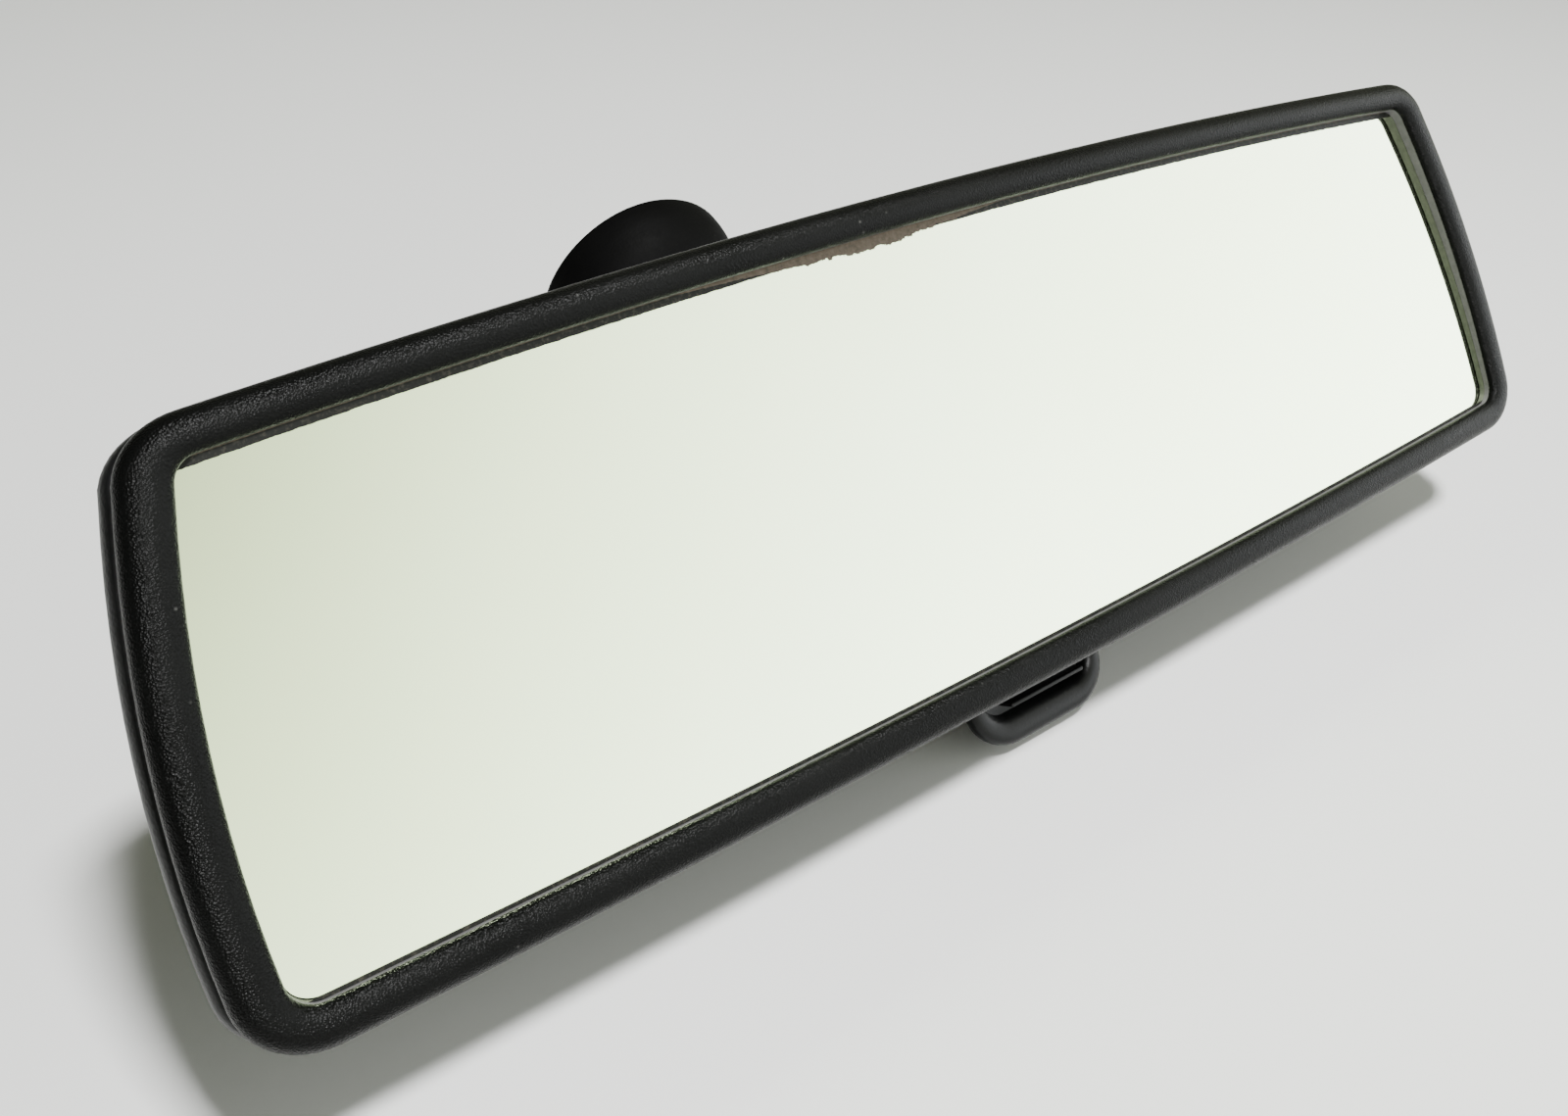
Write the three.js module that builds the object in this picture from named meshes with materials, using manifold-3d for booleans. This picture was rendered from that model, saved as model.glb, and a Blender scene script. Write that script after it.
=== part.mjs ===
// Interior rear-view mirror for a car: a prismatic day/night head on a ball-jointed windscreen arm.
// Millimetres. The row frame has +Z up and +X along the head, with the origin at the centre of the
// flat windscreen face of the foot. The head is drawn in its own frame, in which the glass looks
// along +Z, +Y is the head's top edge and z = 0 is the front lip of the glass opening.
import * as THREE from "three";
import { mergeVertices, mergeGeometries } from "three/addons/utils/BufferGeometryUtils.js";
import Module from "manifold-3d";

const wasm = await Module();
wasm.setup();

// ---- driving dimensions ----
const GAP = 0.3; // clearance left between neighbouring pieces

// glass opening: four gently curved sides that meet in round corners
const OPENING_HALF_HEIGHT = 32.6;
const TOP_RISE = 0.00027; // the top side drops by this times x squared
const BOTTOM_RISE = 0.00013;
const OPENING_HALF_WIDTH = 118;
const END_SLANT = -0.155; // the ends lean out towards the bottom
const END_BULGE = 0.0029; // the ends draw in by this times y squared
const OPENING_CORNER = 3.5;
const END_WIDENING = 0.2; // the frame is this much wider round the ends than along the top
const BOTTOM_WIDENING = 0.12; // and this much wider along the bottom
const END_BELLY = 1.4; // the housing stands this far out past the bezel at the ends

const BEZEL_WIDTH = 4.95;
const SEAM_DEPTH = 4.0; // the bezel meets the rear housing this far behind the lip
const HOUSING_WALL = 2;
const DOME_START = 10.4; // the side walls turn into the domed back here
const HEAD_DEPTH = 29.5;
const DOME_POWER = 0.78;

const GLASS_FRONT = -1.0;
const GLASS_OVERLAP = 1.5; // the glass runs this far under the lip
const GLASS_THIN = 2.2; // wedge thickness at the bottom edge
const GLASS_THICK = 5.0; // and at the top edge
const FILM_THICKNESS = 0.5;

const BALL_CENTRE = new THREE.Vector3(0, 3, -22);
const BALL_RADIUS = 7.5;
const SEAT_INNER = 7.8;
const SEAT_OUTER = 9.0;
const SOCKET_RADIUS = 9.3;
const SOCKET_OUTER = 11.4;

const PIVOT_Y = 19; // the day/night pivot, above the ball
const PIVOT_Z = -9.5;
const PIN_RADIUS = 1.3;
const LEVER_Y = -29;
const LEVER_Z = -11;
const LEVER_PIN_RADIUS = 1.2;
const CRANK_ARM = 6;
const CRANK_LEAN = 14; // degrees: half of the lever's throw
const CRANK_RADIUS = 1.4;

const FOOT_RADIUS = 23;
const FOOT_CENTRE = new THREE.Vector3(0, 44.5, -109.4); // centre of the windscreen face
const FOOT_LEAN = 50; // degrees from the glass normal to the foot's axis
const HEAD_LEAN = 55; // degrees from the ground to the head's up direction
const ARM_RADIUS = 6;
const BAYONET_RADIUS = 13.2;
const BAYONET_DEPTH = 6;

const ARM_ROOT_HEIGHT = 3; // the arm's axis crosses the foot's axis this far above the face
const ARM_SHANK_RADIUS = 5;
const NECK_RADIUS = 3.6;
const STUD_RADIUS = 2;
const CROSS_PIN_RADIUS = 1.4;
const ARM_START = 7.5; // where the arm's shank begins, along its axis
const CROSS_PIN_HEIGHT = 10.6;
const COVER_HEIGHT = 21.5;
const COVER_WALL = 1.8;
const COVER_NECK_WALL = 1.6;
const BASE_THICKNESS = 8;
const SPRING_DISC_RADIUS = 12.6;

const SCREW_RADIUS = 1.5;
const SCREW_X = 15;
const RIVET_RADIUS = 1.2;
const SPRING_X = 9;
const SPRING_RIVET_Y = -8;
const PAD_THICKNESS = 2;
const PAD_WIDTH = 24;
const PAD_HEIGHT = 38;
const PAD_X = 72.8;

const SLOT_WIDTH = 25.8; // the slot of the housing that the lever hangs through
const TAB_Z = -15; // the finger tab hangs this far behind the lip
const TAB_TOP = -37;
const TAB_BOTTOM = -50.6;
const TAB_WIDTH = 29.5;
const TAB_CORNER = 8;
const TAB_THICKNESS = 3.6;
const RIB_Y = -43.4;
const RIB_FRONT = -11;

const ROUND = 24; // facets round a turned piece

// ---- solids ----
const rad = THREE.MathUtils.degToRad;

function toSolid(geometry) {
  const g = geometry.clone();
  g.deleteAttribute("normal");
  g.deleteAttribute("uv");
  const m = mergeVertices(g, 1e-4);
  return new wasm.Manifold(new wasm.Mesh({
    numProp: 3,
    vertProperties: new Float32Array(m.attributes.position.array),
    triVerts: new Uint32Array(m.index.array),
  }));
}

function toGeometry(solid) {
  const mesh = solid.getMesh();
  const g = new THREE.BufferGeometry();
  g.setAttribute("position", new THREE.BufferAttribute(Float32Array.from(mesh.vertProperties), 3));
  g.setIndex(new THREE.BufferAttribute(Uint32Array.from(mesh.triVerts), 1));
  g.computeVertexNormals();
  return g;
}

const join = (...geometries) => toGeometry(geometries.map(toSolid).reduce((a, b) => a.add(b)));
const cut = (geometry, ...tools) =>
  toGeometry(tools.map(toSolid).reduce((a, b) => a.subtract(b), toSolid(geometry)));
const common = (a, b) => toGeometry(toSolid(a).intersect(toSolid(b)));

// a solid of revolution about Z from (radius, z) pairs
function turned(profile, facets = ROUND) {
  const points = profile.map(([r, z]) => new THREE.Vector2(r, z));
  const g = new THREE.LatheGeometry(points, facets);
  g.rotateX(Math.PI / 2);
  return g;
}

// a rod along Z, turned from its two ends
const rod = (radius, z0, z1, facets = 20) => turned([[0, z0], [radius, z0], [radius, z1], [0, z1]], facets);

function rodAlongX(radius, x0, x1, y, z, facets = 20) {
  return rod(radius, x0, x1, facets).rotateY(Math.PI / 2).translate(0, y, z);
}

function block(x0, x1, y0, y1, z0, z1) {
  const g = new THREE.BoxGeometry(x1 - x0, y1 - y0, z1 - z0);
  return g.translate((x0 + x1) / 2, (y0 + y1) / 2, (z0 + z1) / 2);
}

// points of an arc in the (radius, z) plane, with the polar angle measured from +Z in degrees
function polarArc(radius, from, to, steps, z = 0) {
  return Array.from({ length: steps + 1 }, (_, i) => {
    const a = rad(from + ((to - from) * i) / steps);
    return [radius * Math.sin(a), z + radius * Math.cos(a)];
  });
}

function closeLoop(profile) {
  return [...profile, profile[0]];
}

// ---- the head's outline ----
const topY = (x) => OPENING_HALF_HEIGHT - TOP_RISE * x * x;
const bottomY = (x) => -OPENING_HALF_HEIGHT + BOTTOM_RISE * x * x;
const endX = (y) => OPENING_HALF_WIDTH + END_SLANT * y - END_BULGE * y * y;

// where the centre of a corner's arc lies, for the top corner or the bottom one
function cornerCentre(sideY, sign) {
  let x = OPENING_HALF_WIDTH - OPENING_CORNER;
  let y = sign * (OPENING_HALF_HEIGHT - OPENING_CORNER);
  for (let i = 0; i < 20; i++) {
    const slopeY = (sideY(x + 0.5) - sideY(x - 0.5));
    const slopeX = (endX(y + 0.5) - endX(y - 0.5));
    y = sideY(x) - sign * OPENING_CORNER * Math.hypot(1, slopeY);
    x = endX(y) - OPENING_CORNER * Math.hypot(1, slopeX);
  }
  return [x, y];
}
const TOP_CORNER = cornerCentre(topY, 1);
const BOTTOM_CORNER = cornerCentre(bottomY, -1);

// the right half of the outline as [x, y, outward nx, ny], from the top middle to the bottom middle;
// the points are the centres of a disc that rolls round inside the opening
function rightHalf(sideSteps, cornerSteps, endSteps) {
  const out = [];
  const normalOf = (dx, dy) => {
    const l = Math.hypot(dx, dy);
    return [dy / l, -dx / l];
  };
  const topNormal = (x) => normalOf(1, topY(x + 0.5) - topY(x - 0.5)).map((v) => -v);
  const bottomNormal = (x) => normalOf(1, bottomY(x + 0.5) - bottomY(x - 0.5));
  const endNormal = (y) => normalOf(-(endX(y + 0.5) - endX(y - 0.5)), -1).map((v) => -v);
  const place = (x, y, [nx, ny]) => out.push([x - nx * OPENING_CORNER, y - ny * OPENING_CORNER, nx, ny]);
  const arc = ([x, y], from, to) => {
    const a0 = Math.atan2(from[1], from[0]);
    const a1 = Math.atan2(to[1], to[0]);
    for (let i = 0; i <= cornerSteps; i++) {
      const a = a0 + ((a1 - a0) * i) / cornerSteps;
      out.push([x, y, Math.cos(a), Math.sin(a)]);
    }
  };
  for (let i = 0; i < sideSteps; i++) {
    const x = (TOP_CORNER[0] * i) / sideSteps;
    place(x, topY(x), topNormal(x));
  }
  arc(TOP_CORNER, topNormal(TOP_CORNER[0]), endNormal(TOP_CORNER[1]));
  for (let i = 1; i < endSteps; i++) {
    const y = TOP_CORNER[1] + ((BOTTOM_CORNER[1] - TOP_CORNER[1]) * i) / endSteps;
    place(endX(y), y, endNormal(y));
  }
  arc(BOTTOM_CORNER, endNormal(BOTTOM_CORNER[1]), bottomNormal(BOTTOM_CORNER[0]));
  for (let i = sideSteps - 1; i >= 0; i--) {
    const x = (BOTTOM_CORNER[0] * i) / sideSteps;
    place(x, bottomY(x), bottomNormal(x));
  }
  return out;
}

const HALF = rightHalf(6, 4, 4);
const OUTLINE = [
  ...HALF,
  ...HALF.slice(1, -1).reverse().map(([x, y, nx, ny]) => [-x, y, -nx, ny]),
].reverse(); // counter-clockwise as seen from the front

// the outline grown outwards by n, as a ring of points at height z; scale draws it in to the middle,
// and belly pushes the two ends out
function ring(n, z, scale = 1, belly = 0) {
  return OUTLINE.map(([x, y, nx, ny]) => {
    const widening = END_WIDENING * nx * nx + BOTTOM_WIDENING * Math.min(ny, 0) ** 2;
    const r = OPENING_CORNER + n * (1 + widening) + belly * nx * nx;
    return new THREE.Vector3((x + nx * r) * scale, (y + ny * r) * scale, z);
  });
}

// a skin through a list of rings; closed joins the last ring to the first, otherwise both ends are capped
function loft(rings, closed) {
  const count = rings[0].length;
  const points = rings.flat();
  const index = [];
  const bands = closed ? rings.length : rings.length - 1;
  for (let b = 0; b < bands; b++) {
    const low = b * count;
    const high = ((b + 1) % rings.length) * count;
    for (let i = 0; i < count; i++) {
      const j = (i + 1) % count;
      index.push(low + i, low + j, high + j, low + i, high + j, high + i);
    }
  }
  if (!closed) {
    const cap = (start, flip) => {
      const centre = new THREE.Vector3();
      for (let i = 0; i < count; i++) centre.add(points[start + i]);
      points.push(centre.divideScalar(count));
      for (let i = 0; i < count; i++) {
        const j = (i + 1) % count;
        if (flip) index.push(points.length - 1, start + j, start + i);
        else index.push(points.length - 1, start + i, start + j);
      }
    };
    cap(0, true);
    cap((rings.length - 1) * count, false);
  }
  const g = new THREE.BufferGeometry().setFromPoints(points);
  g.setIndex(index);
  g.computeVertexNormals();
  return g;
}

// ---- head pieces, in the head's frame ----
function frontBezel() {
  const section = [
    [0, -0.7], [3.4, -0.7], [3.5, GAP / 2 - SEAM_DEPTH], [BEZEL_WIDTH, GAP / 2 - SEAM_DEPTH],
    [BEZEL_WIDTH, -1.6], [4.5, 0], [3.2, 0.95], [1.8, 1.0], [0.5, 0.4],
  ];
  return loft(section.map(([n, z]) => ring(n, z)), true);
}

// height of the domed back at a fraction s of the way from the middle to the rim
const domeZ = (s, start, end) => -start - (end - start) * (1 - s * s) ** DOME_POWER;
const DOME_STEPS = [0.99, 0.96, 0.87, 0.7, 0.45, 0.2];
const DOME_RIM = 4.0;

// the whole outside of the rear housing as a solid, or its inside when inset is the wall thickness
function dish(inset) {
  const w = BEZEL_WIDTH - inset;
  const z0 = -SEAM_DEPTH - GAP / 2;
  const lift = inset ? 1 : 0; // the inside runs out past the rim, so that the cut is clean
  const start = DOME_START - inset * 0.6;
  const end = HEAD_DEPTH - inset;
  const rings = [
    ring(w, z0 + lift),
    ring(w, -5.4, 1, END_BELLY * 0.7),
    ring(w - 0.1, -7.2, 1, END_BELLY),
    ring(w - 0.6, -9 + inset * 0.4, 1, END_BELLY * 0.6),
    ...DOME_STEPS.map((s) => ring(DOME_RIM - inset, domeZ(s, start, end), s)),
  ];
  return loft(rings.reverse(), false);
}

function rearHousing() {
  const outside = dish(0);
  const aperture = rod(11, -40, -20, ROUND).translate(0, BALL_CENTRE.y + 3.5, 0);
  const leverSlot = block(-SLOT_WIDTH / 2, SLOT_WIDTH / 2, -42, -27.8, -18.5, -8.2);
  const lugs = [-1, 1].flatMap((side) => {
    const box = (x0, x1, ...rest) => {
      const [near, far] = [side * x0, side * x1].sort((a, b) => a - b);
      return block(near, far, ...rest);
    };
    return [
      box(21.5, 24.5, PIVOT_Y - 2.4, PIVOT_Y + 2.4, -28, PIVOT_Z + 2.2),
      box(13, 15.6, -36, LEVER_Y + 2.4, LEVER_Z - 2.4, LEVER_Z + 2.2),
      ...[-6, 6].map((offset) => padRib(side * PAD_X + offset)),
    ];
  });
  const shell = cut(outside, dish(HOUSING_WALL));
  const ribbed = join(shell, common(lugs.reduce((a, b) => join(a, b)), outside));
  return cut(
    ribbed,
    aperture,
    leverSlot,
    rodAlongX(PIN_RADIUS + GAP, -30, 30, PIVOT_Y, PIVOT_Z),
    rodAlongX(LEVER_PIN_RADIUS + GAP, -20, 20, LEVER_Y, LEVER_Z),
  );
}

// the glass is a wedge, thickest along its top edge
const glassSlope = Math.atan((GLASS_THICK - GLASS_THIN) / (2 * OPENING_HALF_HEIGHT));
const glassThickness = (y) => GLASS_THIN + (y + OPENING_HALF_HEIGHT) * Math.tan(glassSlope);
const glassBack = (y) => GLASS_FRONT - glassThickness(y);

// a sheet under the lip, between two heights that may vary with y
function sheet(grow, front, back) {
  const place = (height) => ring(grow, 0).map((p) => new THREE.Vector3(p.x, p.y, height(p.y)));
  return loft([place(back), place(front)], false);
}

const padBack = () => glassBack(0) - FILM_THICKNESS - 2 * GAP - PAD_THICKNESS;

// a rib of the housing that backs a foam pad
const padRib = (x) =>
  block(x - 0.8, x + 0.8, -20, 20, -22, -GAP).rotateX(-glassSlope).translate(0, 0, padBack());

const mirrorGlass = () => sheet(GLASS_OVERLAP, () => GLASS_FRONT, glassBack);
const shatterFilm = () =>
  sheet(GLASS_OVERLAP - 0.5, (y) => glassBack(y) - GAP, (y) => glassBack(y) - GAP - FILM_THICKNESS);

// a foam strip that lies against the sloping back of the film
function foamPad(side) {
  const corner = 3;
  const x = PAD_WIDTH / 2;
  const y = PAD_HEIGHT / 2;
  const shape = new THREE.Shape();
  shape.moveTo(-x + corner, -y).lineTo(x - corner, -y).lineTo(x, -y + corner).lineTo(x, y - corner);
  shape.lineTo(x - corner, y).lineTo(-x + corner, y).lineTo(-x, y - corner).lineTo(-x, -y + corner);
  const g = new THREE.ExtrudeGeometry(shape, { depth: PAD_THICKNESS, bevelEnabled: false });
  return g.rotateX(-glassSlope).translate(side * PAD_X, 0, padBack());
}

// ---- pivot bracket and ball socket, in the head's frame ----
const atBall = (geometry) => geometry.translate(BALL_CENTRE.x, BALL_CENTRE.y, BALL_CENTRE.z);
const screwPlace = (side) => [side * SCREW_X, BALL_CENTRE.y, 0];

function pivotBracket() {
  const plateFront = -8.2;
  const plateBack = -10.8;
  const plate = block(-20, 20, -20, 15, plateBack, plateFront);
  const web = block(-12, 12, 14, PIVOT_Y, plateBack, plateFront);
  const knuckles = rodAlongX(2.6, -18, 18, PIVOT_Y, PIVOT_Z, 16);
  const cup = atBall(turned([[0, 0], [SOCKET_OUTER, 0], ...polarArc(SOCKET_OUTER, 90, 0, 5).slice(1)]));
  const root = rod(9.5, -14.5, plateBack + 0.5, 20).translate(0, BALL_CENTRE.y, 0);
  const bosses = [-1, 1].map((side) =>
    rod(3.4, BALL_CENTRE.z, plateBack + 1, 16).translate(...screwPlace(side)));
  // two prongs hold the lever's crank between them
  const slotHalf = CRANK_RADIUS + 0.4;
  const crankZ = LEVER_Z + CRANK_ARM * Math.sin(rad(CRANK_LEAN));
  const tip = LEVER_Y + CRANK_ARM - 2.2;
  const frontProng = block(-5, 5, tip, -19, crankZ + slotHalf, crankZ + slotHalf + 1.1);
  const backProng = block(-5, 5, tip, -19, crankZ - slotHalf - 1.1, crankZ - slotHalf);
  const bridge = block(-5, 5, -20.6, -18, crankZ - slotHalf - 1.1, crankZ + slotHalf + 1.1);
  const body = join(plate, web, knuckles, cup, root, ...bosses, frontProng, backProng, bridge);
  const hemisphere = polarArc(SOCKET_RADIUS, 90, 0, 6).slice(1);
  const socket = atBall(turned([[0, -1], [SOCKET_RADIUS, -1], [SOCKET_RADIUS, 0], ...hemisphere]));
  const springPocket = atBall(rod(4, 6, SOCKET_RADIUS + 1.3, 20));
  const screwHoles = [-1, 1].map((side) =>
    rod(SCREW_RADIUS + GAP, BALL_CENTRE.z - 1, -12.5, 12).translate(...screwPlace(side)));
  const windows = [-13.5, 13.5].map((x) => block(x - 3.5, x + 3.5, -16, -6, plateBack - 1, plateFront + 1));
  const rivetHole = rod(RIVET_RADIUS + GAP, -14, -5, 12).translate(SPRING_X, SPRING_RIVET_Y, 0);
  const pinHole = rodAlongX(PIN_RADIUS + GAP, -30, 30, PIVOT_Y, PIVOT_Z);
  return cut(body, socket, springPocket, ...screwHoles, ...windows, rivetHole, pinHole);
}

function socketCap() {
  const front = BALL_CENTRE.z - GAP;
  const ears = block(-19, 19, BALL_CENTRE.y - 4.5, BALL_CENTRE.y + 4.5, front - 1.5, front);
  const collar = rod(SOCKET_OUTER + 0.6, front - 2.5, front, ROUND).translate(0, BALL_CENTRE.y, 0);
  const ball = polarArc(SOCKET_RADIUS, 110, 90, 3);
  const bore = atBall(turned([[0, ball[0][1]], ...ball, [SOCKET_RADIUS, 1], [0, 1]]));
  const mouth = rod(SOCKET_RADIUS * 0.94, -30, front, ROUND).translate(0, BALL_CENTRE.y, 0);
  const holes = [-1, 1].map((side) => rod(SCREW_RADIUS + GAP, -30, -20, 12).translate(...screwPlace(side)));
  return cut(join(ears, collar), bore, mouth, ...holes);
}

function socketScrew(side) {
  const under = BALL_CENTRE.z - GAP - 1.5 - GAP;
  const screw = turned([
    [0, under - 1.3], [2.3, under - 1.3], [2.9, under - 0.8], [2.9, under],
    [SCREW_RADIUS, under], [SCREW_RADIUS, -13.6], [0, -13],
  ], 16);
  const slot = (turn) => block(-1.7, 1.7, -0.35, 0.35, under - 2, under - 0.7).rotateZ(turn);
  return cut(screw, slot(0), slot(Math.PI / 2)).translate(...screwPlace(side));
}

// spherical shells of the ball seat: one in front of the ball, one ring behind its equator
const ballSeatFront = () =>
  atBall(turned([...polarArc(SEAT_INNER, 0, 68, 5), ...polarArc(SEAT_OUTER, 68, 0, 5)], 20));
const ballSeatRear = () =>
  atBall(turned(closeLoop([...polarArc(SEAT_INNER, 91, 106, 2), ...polarArc(SEAT_OUTER, 106, 91, 2)]), 20));
const seatSpring = () => atBall(turned(closeLoop([[2, 9.4], [3.7, 9.4], [3.7, 10.2], [2, 10.2]]), 14));

// a leaf spring riveted to the bracket that holds the lever in either position
function detentSpring() {
  const front = -8.2 + GAP + 0.5;
  const profile = new THREE.Shape();
  profile.moveTo(-4, front - 0.5).lineTo(-14, front - 0.5);
  profile.lineTo(-21, front + 0.6).lineTo(-23.5, front - 0.4).lineTo(-23.5, front + 0.1);
  profile.lineTo(-21, front + 1.1).lineTo(-14, front).lineTo(-4, front);
  const g = new THREE.ExtrudeGeometry(profile, { depth: 5, bevelEnabled: false });
  // the profile was drawn in (height, depth): turn it so that it runs along Y
  g.applyMatrix4(new THREE.Matrix4().set(0, 0, 1, SPRING_X - 2.5, 1, 0, 0, 0, 0, 1, 0, 0, 0, 0, 0, 1));
  return cut(g, rod(RIVET_RADIUS + GAP, -14, -5, 12).translate(SPRING_X, SPRING_RIVET_Y, 0));
}

const detentRivet = () =>
  turned([[0, -10.2], [RIVET_RADIUS, -10.2], [RIVET_RADIUS, -7.1], [2.2, -7.1], [1.6, -6.5], [0, -6.4]], 16)
    .translate(SPRING_X, SPRING_RIVET_Y, 0);

const pivotPin = () => rodAlongX(PIN_RADIUS, -25.2, 25.2, PIVOT_Y, PIVOT_Z, 16);
const leverPin = () => rodAlongX(LEVER_PIN_RADIUS, -15.9, 15.9, LEVER_Y, LEVER_Z, 16);

// ---- day/night lever ----
function toggleLever() {
  const hub = rodAlongX(2.6, -12.6, 12.6, LEVER_Y, LEVER_Z, 18);
  const lean = rad(CRANK_LEAN);
  const crank = block(-4.5, 4.5, 0, CRANK_ARM, -0.8, 0.8).rotateX(lean).translate(0, LEVER_Y, LEVER_Z);
  const tipY = LEVER_Y + CRANK_ARM * Math.cos(lean);
  const tipZ = LEVER_Z + CRANK_ARM * Math.sin(lean);
  const crankTip = rodAlongX(CRANK_RADIUS, -4.5, 4.5, tipY, tipZ, 14);
  // neck through the slot of the housing, then the finger tab
  const neckBend = Math.atan2(LEVER_Z - TAB_Z, LEVER_Y - TAB_TOP);
  const neckLength = Math.hypot(LEVER_Z - TAB_Z, LEVER_Y - TAB_TOP);
  const neck = block(-10.5, 10.5, -neckLength - 0.6, -1, -1, 1)
    .rotateX(neckBend)
    .translate(0, LEVER_Y, LEVER_Z);
  const tab = new THREE.Shape();
  const w = TAB_WIDTH / 2;
  const r = TAB_CORNER;
  tab.moveTo(-10.5, TAB_TOP).lineTo(-w + 1.5, TAB_TOP - 2.5).lineTo(-w, TAB_TOP - 5);
  tab.lineTo(-w, TAB_BOTTOM + r).absarc(-w + r, TAB_BOTTOM + r, r, Math.PI, 1.5 * Math.PI);
  tab.lineTo(w - r, TAB_BOTTOM).absarc(w - r, TAB_BOTTOM + r, r, 1.5 * Math.PI, 2 * Math.PI);
  tab.lineTo(w, TAB_TOP - 5).lineTo(w - 1.5, TAB_TOP - 2.5).lineTo(10.5, TAB_TOP);
  const plate = new THREE.ExtrudeGeometry(tab, {
    depth: TAB_THICKNESS - 1.6, bevelEnabled: true, bevelThickness: 0.8, bevelSize: 0.8, bevelOffset: -0.8,
    bevelSegments: 2, curveSegments: 5,
  }).translate(0, 0, TAB_Z - TAB_THICKNESS / 2 + 0.8);
  const front = TAB_Z + TAB_THICKNESS / 2;
  const dish = block(-w + 3, w - 3, TAB_BOTTOM + 5, TAB_TOP - 4, front - 1.4, front + 3);
  const rib = block(-8.2, 8.2, RIB_Y - 0.6, RIB_Y + 0.6, TAB_Z - 0.5, RIB_FRONT);
  const body = join(cut(plate, dish), hub, crank, crankTip, neck, rib);
  return cut(body, rodAlongX(LEVER_PIN_RADIUS + GAP, -20, 20, LEVER_Y, LEVER_Z));
}

// ---- foot and arm. The foot's own frame has its origin at the centre of the windscreen face and
// +Z along its axis, away from the windscreen ----
const footAxis = new THREE.Vector3(0, -Math.sin(rad(FOOT_LEAN)), Math.cos(rad(FOOT_LEAN)));
const armRoot = FOOT_CENTRE.clone().addScaledVector(footAxis, ARM_ROOT_HEIGHT);
const armVector = BALL_CENTRE.clone().sub(armRoot);
const armLength = armVector.length();
// the arm's lean from the foot's axis, about X
const armLean = -footAxis.angleTo(armVector);
const alongArm = (geometry) => geometry.rotateX(armLean).translate(0, 0, ARM_ROOT_HEIGHT);

const coverProfile = (inset) => {
  const r = FOOT_RADIUS - inset;
  const top = COVER_HEIGHT - inset;
  return [
    [0, 0], [r, 0], [r, 2], [r - 0.6, 5.6], [r - 2.4, 10.2], [r - 5.8, 14.8],
    [r - 10.6, top - 2.4], [r - 16, top - 0.5], [0, top],
  ];
};
const neckProfile = (inset) => {
  const r = ARM_RADIUS + COVER_NECK_WALL - inset;
  return [[0, 6], [r + 7, 6], [r + 4.6, 13], [r + 2.2, 18], [r + 0.8, 23], [r, 28], [0, 28]];
};

function footCover() {
  const outside = join(turned(coverProfile(0), 32), alongArm(turned(neckProfile(0), 20)));
  const inside = turned(coverProfile(COVER_WALL).map(([r, z]) => [r, z || -1]), 32);
  const bore = alongArm(rod(ARM_RADIUS + GAP, 4, 40, 20));
  return cut(outside, inside, bore);
}

function footBase() {
  const disc = rod(FOOT_RADIUS - COVER_WALL - 2, 0, BASE_THICKNESS, 32);
  const boss = alongArm(rod(9, -6, 13.3, 20));
  const belowFace = block(-40, 40, -40, 40, -30, 0);
  const recess = rod(BAYONET_RADIUS, -1, BAYONET_DEPTH, 28);
  const lugs = [0, 120, 240].map((turn) =>
    block(-4, 4, BAYONET_RADIUS - 2.2, BAYONET_RADIUS + 1, 0, 1.4).rotateZ(rad(turn)));
  const armHole = alongArm(rod(ARM_SHANK_RADIUS + GAP, ARM_START - GAP, 30, 20));
  const pinHole = alongArm(rodAlongX(CROSS_PIN_RADIUS + GAP, -20, 20, 0, CROSS_PIN_HEIGHT, 12));
  const rivetHole = rod(RIVET_RADIUS + GAP, 0, BAYONET_DEPTH + 1, 12);
  const body = cut(join(disc, boss), belowFace, recess);
  return cut(join(body, ...lugs), armHole, pinHole, rivetHole);
}

// the arm: a shank in the foot, a plain round bar, and a neck that carries the ball
function supportArm() {
  const end = armLength;
  const bar = turned([
    [0, ARM_START], [ARM_SHANK_RADIUS, ARM_START], [ARM_SHANK_RADIUS, 15], [ARM_RADIUS, 15],
    [ARM_RADIUS, end - 24], [ARM_RADIUS - 0.9, end - 19], [NECK_RADIUS + 0.6, end - 15],
    [NECK_RADIUS, end - 13], [NECK_RADIUS, end - 9.6], [0, end - 9.6],
  ], 20);
  const studHole = rod(STUD_RADIUS + GAP, end - 22, end, 14);
  const pinHole = rodAlongX(CROSS_PIN_RADIUS + GAP, -20, 20, 0, CROSS_PIN_HEIGHT, 12);
  return alongArm(cut(bar, studHole, pinHole));
}

function ballStud() {
  const neckRadius = NECK_RADIUS - 0.2;
  const neck = Math.asin(neckRadius / BALL_RADIUS);
  const ball = polarArc(BALL_RADIUS, THREE.MathUtils.radToDeg(Math.PI - neck), 0, 8, armLength);
  const start = armLength - 21;
  const shoulder = armLength - 9.3;
  const shank = [[0, start], [STUD_RADIUS, start], [STUD_RADIUS, shoulder], [neckRadius, shoulder]];
  return alongArm(turned([...shank, ...ball], 20));
}

const armCrossPin = () => alongArm(rodAlongX(CROSS_PIN_RADIUS, -8.6, 8.6, 0, CROSS_PIN_HEIGHT, 14));

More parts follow.
